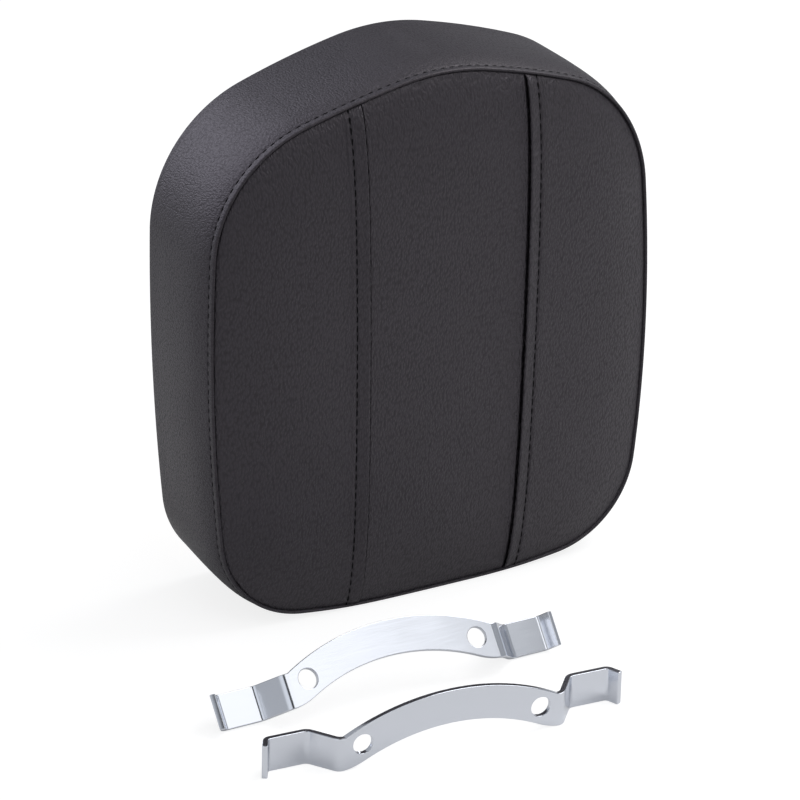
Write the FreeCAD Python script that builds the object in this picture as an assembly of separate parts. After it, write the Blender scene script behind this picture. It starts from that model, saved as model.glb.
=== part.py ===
import FreeCAD
import Part
import math
import os

# Motorbike backrest pad: a foam block on a plywood board in a sewn cover, with two bolt-on brackets.
# Millimetres. X runs to the right as seen from the face, Y runs from the face to the back, Z is up.
# The origin is on the flat that the pad stands on, below the middle of the pad.

V = FreeCAD.Vector

# Outline of the pad, from the crest clockwise, as tangent arcs
pad_tall = 305.0
pad_wide = 269.6
crest_radius = 120.0
shoulder_radius = 80.0
corner_radius = 56.0
crest_angle = 12.6
brow_angle = 7.5
shoulder_angle = 65.4
side_angle = 10.5
corner_angle = 76.6
foot_flat = 50.0

# Depth of the pad and the crowned face
pad_deep = 79.3
face_crown = 7.0
crown_power = 4.0
side_set_back = 8.8
end_set_back = 4.2
shoulder_set_back = 5.9
face_margin = 15.0
face_columns = 9
face_rows = 11

# Sewn cover
cover_thick = 1.2
panel_joint_low = 46.0
panel_joint_top = 50.0
lap_wide = 7.2
lap_rise = 1.5
hem_wide = 22.0
soft_gap = 0.1

# Board, threaded inserts and staples at the back
board_thick = 9.5
board_inset = 1.5
insert_row_high = 95.0
insert_row_space = 114.3
insert_barrel = 10.0
insert_bore = 6.6
insert_flange = 22.0
insert_flange_thick = 1.6
staple_pitch = 24.0
staple_crown = 10.0
staple_wire = 1.0
staple_from_edge = 12.0

# Brackets, bent from flat plated strap
strap_thick = 3.0
strap_wide = 19.05
arch_rise = 15.2
arch_top_radius = 130.5
arch_under_radius = 112.7
arch_foot_radius = 34.2
plate_half = 63.5
bend_radius = 4.0
riser_deep = 15.0
riser_run = 11.5
tab_long = 23.0
lip_deep = 7.5
lip_flare = 3.8
lip_bend_radius = 2.0
hole_space = 101.6
hole_wide = 11.1
hole_from_top = 10.275

# Where the brackets stand in front of the pad
front_bracket_right = -79.3
front_bracket_forward = 195.8
front_bracket_yaw = -4.2
rear_bracket_right = -78.2
rear_bracket_forward = 139.7
rear_bracket_lean = 39.9

half_wide = pad_wide / 2
face_y = -pad_deep / 2
back_y = pad_deep / 2
mid_high = pad_tall / 2


def outline_arcs():
    """Arcs of the right half outline from the crest down to the foot, as (radius, from, to) in degrees.

    The three long arcs take the radii that close the outline at the pad's height and width."""
    turns = [crest_angle, brow_angle, shoulder_angle, side_angle, corner_angle]
    turns.append(180.0 - sum(turns))
    ends = [0.0]
    for turn in turns:
        ends.append(ends[-1] + turn)
    rads = [math.radians(a) for a in ends]
    across = [math.sin(rads[i + 1]) - math.sin(rads[i]) for i in range(6)]
    down = [math.cos(rads[i]) - math.cos(rads[i + 1]) for i in range(6)]
    to_widest = 1.0 - math.sin(rads[3])
    small = {0: crest_radius, 2: shoulder_radius, 4: corner_radius}
    # Half width, closing at the foot flat, and height, for the brow, side and foot radii
    rows = [
        [across[1], to_widest, 0.0, half_wide - sum(small[i] * across[i] for i in (0, 2))],
        [across[1], across[3], across[5], foot_flat / 2 - sum(small[i] * across[i] for i in small)],
        [down[1], down[3], down[5], pad_tall - sum(small[i] * down[i] for i in small)],
    ]
    matrix = FreeCAD.Matrix(*rows[0][:3], 0, *rows[1][:3], 0, *rows[2][:3], 0, 0, 0, 0, 1)
    solved = matrix.inverse().multVec(V(rows[0][3], rows[1][3], rows[2][3]))
    radii = [small[0], solved.x, small[2], solved.y, small[4], solved.z]
    return [(radii[i], ends[i], ends[i + 1]) for i in range(6)]


pad_arcs = outline_arcs()


def arc_points(inset):
    """Start, middle and end of each arc of the right half, with the outline drawn in by the inset."""
    x = 0.0
    z = pad_tall - inset
    out = []
    for radius, start, end in pad_arcs:
        r = radius - inset
        a = math.radians(start)
        centre_x = x - r * math.sin(a)
        centre_z = z - r * math.cos(a)
        trio = []
        for turn in (start, (start + end) / 2, end):
            b = math.radians(turn)
            trio.append((centre_x + r * math.sin(b), centre_z + r * math.cos(b)))
        out.append(trio)
        x, z = trio[2]
    return out


def outline_wire(inset, y):
    """Closed outline at depth y: the right half, the foot flat, then the left half."""
    right = arc_points(inset)
    edges = []
    for a, b, c in right:
        edges.append(Part.Arc(V(a[0], y, a[1]), V(b[0], y, b[1]), V(c[0], y, c[1])).toShape())
    foot_x, foot_z = right[-1][2]
    edges.append(Part.LineSegment(V(foot_x, y, foot_z), V(-foot_x, y, foot_z)).toShape())
    for a, b, c in reversed(right):
        edges.append(Part.Arc(V(-c[0], y, c[1]), V(-b[0], y, b[1]), V(-a[0], y, a[1])).toShape())
    return Part.Wire(edges)


def body_between(y_front, y_back, inset):
    """Solid between two depths inside the outline, drawn in by the inset."""
    return Part.Face(outline_wire(inset, y_front)).extrude(V(0, y_back - y_front, 0))


def outline_reach(angle):
    """Distance from the middle of the face to the seam, in the direction of the angle from straight up."""
    turn = abs(angle)
    dx = math.sin(turn)
    dz = math.cos(turn)
    x = 0.0
    z = pad_tall
    for radius, start, end in pad_arcs:
        first = math.radians(start)
        last = math.radians(end)
        cx = x - radius * math.sin(first)
        cz = z - radius * math.cos(first)
        x = cx + radius * math.sin(last)
        z = cz + radius * math.cos(last)
        if turn <= math.atan2(x, z - mid_high):
            toward = cx * dx + (cz - mid_high) * dz
            off = cx * dz - (cz - mid_high) * dx
            return toward + math.sqrt(radius * radius - off * off)
    return -mid_high / dz


def seam_depth(x, z):
    """Depth of the surface that the face seam lies on: it sweeps back to the sides and the ends."""
    across = x / half_wide
    up = (z - mid_high) / mid_high
    swept = side_set_back * across ** 2 + end_set_back * up ** 2 + shoulder_set_back * across ** 2 * up
    return face_y + swept


def face_depth(x, z):
    """Depth of the crowned face, nearly level in the middle and rolling off towards the seam."""
    up = z - mid_high
    radius = math.hypot(x, up)
    share = radius / outline_reach(math.atan2(x, up)) if radius > 0 else 0.0
    fall = share ** crown_power if share < 1 else 1 + crown_power * (share - 1)
    return seam_depth(x, z) - face_crown * (1 - fall)


def crowned_surface():
    """The crowned face as one surface, larger than the pad all round."""
    wide = half_wide + face_margin
    tall = pad_tall + 2 * face_margin
    grid = []
    for i in range(face_columns):
        x = wide * (2 * i / (face_columns - 1) - 1)
        line = []
        for j in range(face_rows):
            z = tall * j / (face_rows - 1) - face_margin
            line.append(V(x, face_depth(x, z), z))
        grid.append(line)
    surface = Part.BSplineSurface()
    surface.interpolate(grid)
    return surface.toShape()


crowned = crowned_surface()


def behind_face(setback, deep):
    """Layer of even depth that begins behind the crowned face by the setback."""
    layer = crowned.extrude(V(0, deep, 0))
    layer.translate(V(0, setback, 0))
    return layer


def joint_slab(near, far):
    """Slab between two lines that run beside the right panel joint, at distances from it."""
    low = -pad_tall
    high = 2 * pad_tall
    slope = (panel_joint_top - panel_joint_low) / pad_tall
    points = []
    for offset, z in ((near, low), (far, low), (far, high), (near, high)):
        points.append(V(panel_joint_low + slope * z + offset, face_y - pad_deep, z))
    face = Part.Face(Part.makePolygon(points + [points[0]]))
    return face.extrude(V(0, 3 * pad_deep, 0))


def mirrored(shape):
    """Mirror image across the middle of the pad."""
    return shape.mirror(V(0, 0, 0), V(1, 0, 0))


def face_panels():
    """Three face panels: the side ones are folded at the joint and lapped over the centre one."""
    inside = body_between(face_y - pad_deep, back_y, cover_thick + soft_gap)
    skin = behind_face(0.0, cover_thick).common(inside)
    raised = behind_face(-lap_rise, lap_rise).common(inside)
    side = skin.common(joint_slab(0.0, pad_wide))
    lap = raised.common(joint_slab(0.0, lap_wide))
    right = side.fuse(lap).removeSplitter()
    left_limit = mirrored(joint_slab(-soft_gap, pad_wide))
    centre = skin.cut(joint_slab(-soft_gap, pad_wide)).cut(left_limit)
    return right, mirrored(right), centre


def side_band():
    """Boxing that runs round the pad from the face seam, with its hem turned over the back."""
    outer = body_between(face_y - pad_deep, back_y, 0.0)
    inner = body_between(face_y - pad_deep, back_y - cover_thick, cover_thick)
    open_back = body_between(back_y - 2 * cover_thick, back_y + cover_thick, hem_wide)
    return outer.cut(inner).cut(open_back).common(behind_face(0.0, 2 * pad_deep))


def insert_places():
    """Middle of each threaded insert, in pairs that match the bracket holes."""
    places = []
    for high in (insert_row_high, insert_row_high + insert_row_space):
        for side in (-1, 1):
            places.append((side * hole_space / 2, high))
    return places


def rod(x, z, wide, y_from, y_to):
    """Round bar along the depth."""
    return Part.makeCylinder(wide / 2, y_to - y_from, V(x, y_from, z), V(0, 1, 0))


board_back = back_y - cover_thick
board_front = board_back - board_thick


def insert_flange_at(x, z):
    """Hexagonal flange of an insert, flat against the front of the board."""
    corner = insert_flange / 2 / math.cos(math.radians(30))
    turns = [math.radians(60 * k) for k in range(7)]
    low = board_front - insert_flange_thick
    points = [V(x + corner * math.cos(a), low, z + corner * math.sin(a)) for a in turns]
    return Part.Face(Part.makePolygon(points)).extrude(V(0, insert_flange_thick, 0))


def tee_nut(x, z):
    """Threaded insert: a hexagonal flange under the foam and a barrel through the board."""
    flange = insert_flange_at(x, z)
    barrel = rod(x, z, insert_barrel, board_front - insert_flange_thick, board_back - soft_gap)
    bore = rod(x, z, insert_bore, board_front - pad_deep, back_y)
    return flange.fuse(barrel).cut(bore).removeSplitter()


def staple_places():
    """Places along the hem, as (x, z, heading in degrees), evenly spaced from the crest down each side."""
    places = []
    wire = outline_wire(staple_from_edge, 0.0)
    count = 2 * round(wire.Length / staple_pitch / 2)
    for point, tangent in staple_points(wire, count):
        places.append((point.x, point.z, math.degrees(math.atan2(-tangent.z, tangent.x))))
    return places


def staple_points(wire, count):
    """Points and directions at even distances along the wire, half a pitch from its start."""
    step = wire.Length / count
    edges = wire.OrderedEdges
    found = []
    for k in range(count):
        along = (k + 0.5) * step
        for edge in edges:
            if along <= edge.Length:
                at = edge.getParameterByLength(along)
                found.append((edge.valueAt(at), edge.tangentAt(at)))
                break
            along -= edge.Length
    return found


def staple(x, z, heading):
    """Crown of one staple, lying flat on the hem."""
    corner = V(-staple_crown / 2, 0, -staple_wire / 2)
    crown = Part.makeBox(staple_crown, staple_wire / 2, staple_wire, corner)
    crown.rotate(V(0, 0, 0), V(0, 1, 0), heading)
    crown.translate(V(x, back_y, z))
    return crown


def base_board():
    """Plywood board behind the foam, drilled for the inserts."""
    board = body_between(board_front, board_back - soft_gap, cover_thick + board_inset)
    for x, z in insert_places():
        board = board.cut(rod(x, z, insert_barrel, board_front - board_thick, back_y))
    return board


def foam_core():
    """Foam block glued to the board, hollowed where the insert flanges stand up from it."""
    inside = body_between(face_y - pad_deep, board_front, cover_thick + 2 * soft_gap)
    foam = inside.common(behind_face(cover_thick + soft_gap, 2 * pad_deep))
    for x, z in insert_places():
        foam = foam.cut(insert_flange_at(x, z))
    return foam


def bent_line(points, radii):
    """Wire through the points in plan, with an arc of each given radius at the inner ones."""
    wire = Part.makePolygon([V(x, y, 0) for x, y in points])
    edges = wire.Edges
    out = []
    start = V(points[0][0], points[0][1], 0)
    for i, radius in enumerate(radii):
        corner = V(points[i + 1][0], points[i + 1][1], 0)
        back = (edges[i].Vertexes[0].Point - corner).normalize()
        ahead = (edges[i + 1].Vertexes[1].Point - corner).normalize()
        half = back.getAngle(ahead) / 2
        reach = radius / math.tan(half)
        first = corner + back * reach
        last = corner + ahead * reach
        bisector = (back + ahead).normalize()
        middle = corner + bisector * (radius / math.sin(half) - radius)
        out.append(Part.LineSegment(start, first).toShape())
        out.append(Part.Arc(first, middle, last).toShape())
        start = last
    end = V(points[-1][0], points[-1][1], 0)
    out.append(Part.LineSegment(start, end).toShape())
    return out


def strap_plan():
    """Plan of the bent strap: plate, risers, tabs and hook lips, at its full thickness."""
    mid = strap_thick / 2
    x = 0.0
    line = [(0.0, mid)]
    for run, deep in ((plate_half, 0), (riser_run, riser_deep), (tab_long, 0), (lip_flare, -lip_deep)):
        x += run
        line.append((x, line[-1][1] + deep))
    sides = []
    for sign in (1, -1):
        points = shifted(line, sign * mid)
        radii = [bend_radius + (strap_thick if turn * sign > 0 else 0) for turn in (-1, 1)]
        radii.append(lip_bend_radius + (strap_thick if sign > 0 else 0))
        sides.append((points, radii))
    outer = bent_line(*sides[0])
    inner = bent_line(*sides[1])
    ends = [(sides[0][0][i], sides[1][0][i]) for i in (0, -1)]
    caps = [Part.LineSegment(V(*a, 0), V(*b, 0)).toShape() for a, b in ends]
    return Part.Face(Part.Wire(Part.__sortEdges__(outer + inner + caps)))


def shifted(line, off):
    """The line moved sideways by the offset, with its corners kept sharp."""
    out = []
    for i, (x, y) in enumerate(line):
        turns = []
        for j in (i - 1, i):
            if 0 <= j < len(line) - 1:
                turns.append(math.atan2(line[j + 1][1] - line[j][1], line[j + 1][0] - line[j][0]))
        mean = sum(turns) / len(turns)
        far = off / math.cos((turns[0] - turns[-1]) / 2)
        out.append((x - far * math.sin(mean), y + far * math.cos(mean)))
    return out


def strap_front():
    """Right half of the strap seen square on: an arched plate that runs out into the level tab."""
    reach = plate_half + riser_run + tab_long + lip_flare + strap_thick
    crest = arch_rise + strap_wide
    top_centre = crest - arch_top_radius
    top_end = math.sqrt(arch_top_radius ** 2 - (strap_wide - top_centre) ** 2)
    top_mid = top_end / 2
    both = arch_under_radius + arch_foot_radius
    turn = math.acos(1 - (crest - strap_wide) / both)
    foot = both * math.sin(turn)
    under_centre = arch_rise - arch_under_radius
    middle = turn / 2
    under_mid = (arch_under_radius * math.sin(middle), under_centre + arch_under_radius * math.cos(middle))
    join = (arch_under_radius * math.sin(turn), under_centre + arch_under_radius * math.cos(turn))
    foot_mid = (foot - arch_foot_radius * math.sin(middle), arch_foot_radius * (1 - math.cos(middle)))
    top_middle_high = top_centre + math.sqrt(arch_top_radius ** 2 - top_mid ** 2)
    edges = [
        Part.Arc(V(0, 0, crest), V(top_mid, 0, top_middle_high), V(top_end, 0, strap_wide)).toShape(),
        Part.LineSegment(V(top_end, 0, strap_wide), V(reach, 0, strap_wide)).toShape(),
        Part.LineSegment(V(reach, 0, strap_wide), V(reach, 0, 0)).toShape(),
        Part.LineSegment(V(reach, 0, 0), V(foot, 0, 0)).toShape(),
        Part.Arc(V(foot, 0, 0), V(foot_mid[0], 0, foot_mid[1]), V(join[0], 0, join[1])).toShape(),
        Part.Arc(V(join[0], 0, join[1]), V(under_mid[0], 0, under_mid[1]), V(0, 0, arch_rise)).toShape(),
        Part.LineSegment(V(0, 0, arch_rise), V(0, 0, crest)).toShape(),
    ]
    return Part.Face(Part.Wire(edges))


def hole_high(x):
    """Height of the bolt hole at x, measured down from the arched top edge."""
    top = arch_rise + strap_wide - arch_top_radius + math.sqrt(arch_top_radius ** 2 - x ** 2)
    return top - hole_from_top


def bracket():
    """One bracket, standing on its lower edges with the plate towards the viewer."""
    tall = arch_rise + strap_wide
    deep = 2 * riser_deep
    plan = strap_plan().extrude(V(0, 0, tall))
    front = strap_front().extrude(V(0, 2 * deep, 0))
    front.translate(V(0, -deep, 0))
    half = plan.common(front)
    hole_middle = V(hole_space / 2, -deep, hole_high(hole_space / 2))
    hole = Part.makeCylinder(hole_wide / 2, 2 * deep, hole_middle, V(0, 1, 0))
    half = half.cut(hole)
    return half.fuse(mirrored(half)).removeSplitter()


def front_bracket():
    """The nearer bracket, upright and turned a little."""
    shape = bracket()
    shape.rotate(V(0, 0, 0), V(0, 0, 1), front_bracket_yaw)
    shape.translate(V(front_bracket_right, -front_bracket_forward, 0))
    return shape


def rear_bracket():
    """The farther bracket, leaning back on the lower edges of its tabs."""
    shape = bracket()
    shape.rotate(V(0, 0, 0), V(1, 0, 0), -rear_bracket_lean)
    lift = (riser_deep + strap_thick) * math.sin(math.radians(rear_bracket_lean))
    shape.translate(V(rear_bracket_right, -rear_bracket_forward, lift))
    return shape


def save(name, shape):
    """Write one piece, as a solid or a group of separate solids."""
    solids = shape.Solids
    whole = solids[0] if len(solids) == 1 else Part.makeCompound(solids)
    whole.exportStep(f"parts/{name}.step")
    state = "valid" if whole.isValid() else "NOT VALID"
    print(name, len(solids), round(whole.Volume / 1000, 2), "cm3", state)


def build():
    os.makedirs("parts", exist_ok=True)
    right, left, centre = face_panels()
    save("face_panel_right", right)
    save("face_panel_left", left)
    save("face_panel_centre", centre)
    save("side_band", side_band())
    save("foam_core", foam_core())
    save("base_board", base_board())
    save("cover_staples", Part.makeCompound([staple(*place) for place in staple_places()]))
    for number, (x, z) in enumerate(insert_places(), 1):
        save(f"tee_nut_{number}", tee_nut(x, z))
    save("bracket_front", front_bracket())
    save("bracket_rear", rear_bracket())


build()
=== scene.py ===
import math
import bmesh
import bpy
import numpy as np
from mathutils import Matrix, Vector, kdtree
from mathutils.bvhtree import BVHTree


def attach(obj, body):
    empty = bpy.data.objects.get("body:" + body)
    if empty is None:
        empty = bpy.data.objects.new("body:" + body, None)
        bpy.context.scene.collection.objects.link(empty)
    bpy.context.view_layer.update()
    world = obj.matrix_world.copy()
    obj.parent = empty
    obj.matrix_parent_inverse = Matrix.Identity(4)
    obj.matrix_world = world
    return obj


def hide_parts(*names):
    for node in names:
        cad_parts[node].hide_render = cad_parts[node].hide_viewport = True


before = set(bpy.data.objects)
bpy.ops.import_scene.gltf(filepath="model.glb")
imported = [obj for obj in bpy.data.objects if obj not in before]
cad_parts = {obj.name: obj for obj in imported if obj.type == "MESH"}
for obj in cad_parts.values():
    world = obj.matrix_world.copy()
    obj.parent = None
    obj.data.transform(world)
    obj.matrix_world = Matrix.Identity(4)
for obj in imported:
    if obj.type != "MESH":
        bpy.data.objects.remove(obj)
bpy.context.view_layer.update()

# Motorbike backrest pad in black vinyl, standing on its foot, with its two bent strap brackets in front.
# Lengths are in millimetres until a mesh is made. X is to the right, Y from the face to the back, Z up.

mm = 0.001

# Seam outline from the crest clockwise, as tangent arcs
pad_tall = 305.0
half_wide = 134.8
pad_deep = 79.3
crest_radius = 120.0
shoulder_radius = 80.0
corner_radius = 56.0
face_turns = [12.6, 7.5, 65.4, 10.5, 76.6]
back_turns = [12.6, 7.5, 69.4, 6.5, 76.6]
back_rise = 1.7
back_spread = 1.2
foot_flat = 50.0

# Crowned face, rolled over at the seam
face_crown = 7.0
crown_power = 6.0
side_set_back = 8.8
end_set_back = 4.2
shoulder_set_back = 5.9
edge_roll = 1.9
edge_roll_wide = 4.2

# Lapped joints between the face panels
joint_low = 46.0
joint_top = 50.0
joint_stitch = 7.2
groove_deep = 1.9
groove_from_fold = 0.75
left_groove_from_fold = 0.5
groove_steep = 0.16
tuck_under = 5.0
end_flat = 2.6
end_press = 0.75

# Sewing
vinyl_thick = 0.7
seam_inset = 1.0
seam_draw = 1.0
seam_draw_wide = 0.8
seam_stitch = 3.3
stitch_pitch = 5.4
crease_deep = 0.55
crease_wide = 0.6
band_crease_deep = 0.2
band_crease_wide = 0.5
hem_wide = 22.0
staple_from_edge = 12.0
staple_pitch = 24.0

mid_high = pad_tall / 2
face_y = -pad_deep / 2
back_y = pad_deep / 2


def outline_arcs(tall, half, turns):
    """Radii and end angles of the six arcs. The three long radii are solved so that the outline closes."""
    ends = np.radians(np.concatenate([[0.0], np.cumsum(turns), [180.0]]))
    across = np.diff(np.sin(ends))
    down = -np.diff(np.cos(ends))
    radii = np.array([crest_radius, 0.0, shoulder_radius, 0.0, corner_radius, 0.0])
    to_widest = np.array([across[0], across[1], across[2], 1.0 - math.sin(ends[3]), 0.0, 0.0])
    long_arcs = [1, 3, 5]
    rules = np.array([to_widest, across, down])
    goal = np.array([half, foot_flat / 2, tall]) - rules @ radii
    radii[long_arcs] = np.linalg.solve(rules[:, long_arcs], goal)
    return radii, ends


def half_outline(tall, half, turns, step=0.25):
    """Dense points (x, z, heading, place) of the right half, from the crest to the middle of the foot."""
    radii, ends = outline_arcs(tall, half, turns)
    x, z = 0.0, tall
    out = []
    for i, radius in enumerate(radii):
        count = max(int(radius * (ends[i + 1] - ends[i]) / step), 2)
        angles = np.linspace(ends[i], ends[i + 1], count)
        centre_x = x - radius * math.sin(ends[i])
        centre_z = z - radius * math.cos(ends[i])
        xs = centre_x + radius * np.sin(angles)
        zs = centre_z + radius * np.cos(angles)
        points = np.stack([xs, zs, angles, i + np.linspace(0, 1, count)], axis=1)
        out.append(points if i == 0 else points[1:])
        x, z = points[-1, 0], points[-1, 1]
    foot = np.linspace(0, 1, int(x / step))[1:]
    out.append(np.stack([x * (1 - foot), z + 0 * foot, math.pi + 0 * foot, len(radii) + foot], axis=1))
    return np.concatenate(out)


face_line = half_outline(pad_tall, half_wide, face_turns)
back_line = half_outline(pad_tall + back_rise, half_wide + back_spread, back_turns)
face_along = np.concatenate([[0.0], np.cumsum(np.hypot(*np.diff(face_line[:, :2], axis=0).T))])
half_round = face_along[-1]
widest = int(np.argmax(face_line[:, 0]))


def face_edge(along, inset=0.0):
    """Points (x, z) of the right half of the seam at distances from the crest, drawn in by the inset."""
    x, z, angle = [np.interp(along, face_along, face_line[:, k]) for k in range(3)]
    return np.stack([x - inset * np.sin(angle), z - inset * np.cos(angle)], axis=-1)


def along_edge(x, upper):
    """Distance from the crest to the place on the seam at x, on its upper or lower run."""
    if upper:
        return float(np.interp(x, face_line[: widest + 1, 0], face_along[: widest + 1]))
    return float(np.interp(x, face_line[widest:, 0][::-1], face_along[widest:][::-1]))


def edge_height(x, upper):
    """Height of the seam, drawn in by its inset, above or below a place across the face."""
    line = face_edge(face_along, seam_inset)
    part = line[: widest + 1] if upper else line[widest:][::-1]
    return float(np.interp(x, part[:, 0], part[:, 1]))


def reach(x, z):
    """Distance from the middle of the face to the seam, in the direction of each point."""
    up = face_line[:, 1] - mid_high
    angles = np.arctan2(face_line[:, 0], up)
    return np.interp(np.arctan2(np.abs(x), z - mid_high), angles, np.hypot(face_line[:, 0], up))


def seam_depth(x, z):
    """Depth of the swept surface that the face seam lies on."""
    across = x / half_wide
    up = (z - mid_high) / mid_high
    at_sides = side_set_back * across ** 2
    at_ends = end_set_back * up ** 2
    at_shoulders = shoulder_set_back * across ** 2 * up
    return face_y + at_sides + at_ends + at_shoulders


def from_edge(x, z, every=3, batches=40):
    """Distance of each point inwards from the tangent at the nearest point of the seam outline."""
    flat = np.stack([np.abs(x).ravel(), z.ravel()], axis=1)
    line = face_line[::every]
    near = []
    for part in np.array_split(flat, batches):
        gaps = ((part[:, None] - line[None, :, :2]) ** 2).sum(2)
        near.append(gaps.argmin(1))
    spot = line[np.concatenate(near)]
    outward = np.stack([np.sin(spot[:, 2]), np.cos(spot[:, 2])], axis=1)
    return np.abs(((spot[:, :2] - flat) * outward).sum(1)).reshape(x.shape)


def face_depth(x, z):
    """Depth of the crowned face, with a tighter roll at the seam."""
    share = np.clip(np.hypot(x, z - mid_high) / reach(x, z), 0, 1)
    crowned = seam_depth(x, z) - face_crown * (1 - share ** crown_power)
    return crowned + edge_roll * np.exp(-from_edge(x, z) / edge_roll_wide)


def joint_x(z):
    """Place of the right joint's fold edge at each height."""
    return joint_low + (joint_top - joint_low) * z / pad_tall


def linked(name, mesh):
    """New piece of the scene from a mesh."""
    piece = bpy.data.objects.new(name, mesh)
    bpy.context.scene.collection.objects.link(piece)
    return piece


def net(name, points, cut, closed=False):
    """Mesh from a net of points in millimetres, with each point's place on the flat vinyl as its UV map."""
    rows, columns = points.shape[:2]
    wide = columns if closed else columns - 1
    i, j = np.meshgrid(np.arange(rows - 1), np.arange(wide), indexing="ij")
    k = (j + 1) % columns
    here = i * columns
    above = (i + 1) * columns
    quads = np.stack([here + j, here + k, above + k, above + j], axis=-1)
    mesh = bpy.data.meshes.new(name)
    mesh.from_pydata((points.reshape(-1, 3) * mm).tolist(), [], quads.reshape(-1, 4).tolist())
    corners = np.stack([cut[i, j], cut[i, j + 1], cut[i + 1, j + 1], cut[i + 1, j]], axis=2)
    layer = mesh.uv_layers.new(name="cut_vinyl")
    layer.uv.foreach_set("vector", (corners.reshape(-1) * mm).astype(np.float32))
    mesh.shade_smooth()
    return linked(name, mesh)


def finished(piece):
    """Turn a piece with live modifiers into a plain mesh."""
    depsgraph = bpy.context.evaluated_depsgraph_get()
    live = piece.evaluated_get(depsgraph)
    mesh = bpy.data.meshes.new_from_object(live, preserve_all_data_layers=True, depsgraph=depsgraph)
    piece.modifiers.clear()
    piece.data = mesh
    piece.data.name = piece.name
    return piece


def given_thickness(piece, thick):
    """Give a sheet its thickness on the inner side."""
    wall = piece.modifiers.new("wall", "SOLIDIFY")
    wall.thickness = thick * mm
    wall.offset = -1
    wall.use_rim = True
    return finished(piece)


def spaced(length, step, fine=0.45, fine_run=5.0):
    """Places from 0 to 1 along a length, close together at both ends."""
    ends = np.arange(0, fine_run, fine)
    middle = np.linspace(fine_run, length - fine_run, int((length - 2 * fine_run) / step))
    return np.concatenate([ends, middle, length - ends[::-1]]) / length


# The foam pushes the cover out between its seams: a plain closed body is blown up with the seam lines held
swell_cap = 2.2
swell_start = 1.2
blank_voxel = 5.0
hold_near = 4.5
blow_pressure = 4.0
blow_frames = 20
blow_quality = 5
near_points = 16
foam_inset = 3.0
foam_back = 28.8

# Rings of points that make up the plain body: over the face, along the side and over the back
body_columns = 160
face_rings = 26
side_rings = 12
hub_share = 0.04
side_from = 0.08
back_from = 0.9


def pad_body(name, inset, back):
    """Closed plain body of the pad inside its seams, from the face to a depth at the back."""
    along = np.linspace(0, 2 * half_round, body_columns, endpoint=False)
    side = np.where(along <= half_round, 1.0, -1.0)
    edge = face_edge(np.where(along <= half_round, along, 2 * half_round - along), inset)
    x = edge[:, 0] * side
    z = edge[:, 1]
    rings = []
    for share in np.linspace(hub_share, 1.0, face_rings):
        rx = x * share
        rz = mid_high + (z - mid_high) * share
        rings.append(np.stack([rx, face_depth(rx, rz) + inset, rz], axis=1))
    front = rings[-1][:, 1]
    for share in np.linspace(side_from, 1.0, side_rings):
        rings.append(np.stack([x, front + (back - front) * share, z], axis=1))
    for share in np.linspace(back_from, hub_share, side_rings):
        rings.append(np.stack([x * share, back + 0 * x, mid_high + (z - mid_high) * share], axis=1))
    body = net(name, np.array(rings), np.zeros((len(rings), body_columns + 1, 2)), closed=True)
    shape = bmesh.new()
    shape.from_mesh(body.data)
    bmesh.ops.holes_fill(shape, edges=[e for e in shape.edges if e.is_boundary])
    bmesh.ops.recalc_face_normals(shape, faces=shape.faces)
    shape.to_mesh(body.data)
    shape.free()
    return body


def blown_cover():
    """Places on the cover, and how far the foam has pushed each one out, in millimetres."""
    blank = pad_body("blank", swell_start, back_y)
    remesh = blank.modifiers.new("even", "REMESH")
    remesh.mode = "VOXEL"
    remesh.voxel_size = blank_voxel * mm
    finished(blank)
    rest = np.array([v.co for v in blank.data.vertices]) / mm
    x, y, z = rest.T
    on_face = y < seam_depth(x, z) + 2 * hold_near
    by_joint = on_face & (np.abs(np.abs(x) - joint_x(z) - joint_stitch) < hold_near)
    by_seam = (from_edge(x, z) < hold_near + swell_start) & (np.abs(y - seam_depth(x, z)) < hold_near)
    by_board = y > back_y - 3 * hold_near
    held = blank.vertex_groups.new(name="held")
    held.add(np.flatnonzero(by_joint | by_seam | by_board).tolist(), 1.0, "REPLACE")
    cloth = blank.modifiers.new("blown", "CLOTH")
    cloth.settings.use_pressure = True
    cloth.settings.uniform_pressure_force = blow_pressure
    cloth.settings.vertex_group_mass = "held"
    cloth.settings.effector_weights.gravity = 0.0
    cloth.settings.quality = blow_quality
    cloth.point_cache.frame_start = 1
    cloth.point_cache.frame_end = blow_frames
    for frame_number in range(1, blow_frames + 1):
        bpy.context.scene.frame_set(frame_number)
    finished(blank)
    moves = np.array([v.co for v in blank.data.vertices]) / mm - rest
    bpy.context.scene.frame_set(1)
    size = np.linalg.norm(moves, axis=1, keepdims=True)
    moves *= swell_cap * np.tanh(size / swell_cap) / np.maximum(size, 1e-6)
    bpy.data.objects.remove(blank)
    near = kdtree.KDTree(len(rest))
    for i, place in enumerate(rest):
        near.insert(place, i)
    near.balance()
    return near, moves


blown = blown_cover()


def swollen(points):
    """The points moved as the blown cover moved near them."""
    if blown is None:
        return points
    near, moves = blown
    out = points.reshape(-1, 3).copy()
    for k, place in enumerate(out):
        found = near.find_n(place, near_points)
        index = [f[1] for f in found]
        weight = np.exp(-(np.array([f[2] for f in found]) / blank_voxel) ** 2) + 1e-9
        out[k] = place + weight @ moves[index] / weight.sum()
    return out.reshape(points.shape)


# Face panels: spacing of their points over the face and beside the folds
centre_step = 1.6
centre_run_stop = 6.5
fine_before_fold = 5.5
fine_columns = 43
side_step = 1.25
patch_columns = 58
patch_share = 0.92
rim_columns = 14
rim_share = 0.07

# Headings of the seam at the two outer corners of a side panel's patch, in degrees
patch_corners = (45, 135)


def seam_crease(x, z):
    """How far the face is drawn in where it is sewn to the boxing."""
    gap = np.maximum(from_edge(x, z) - seam_inset, 0)
    return seam_draw * np.exp(-(gap / seam_draw_wide) ** 2)


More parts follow.
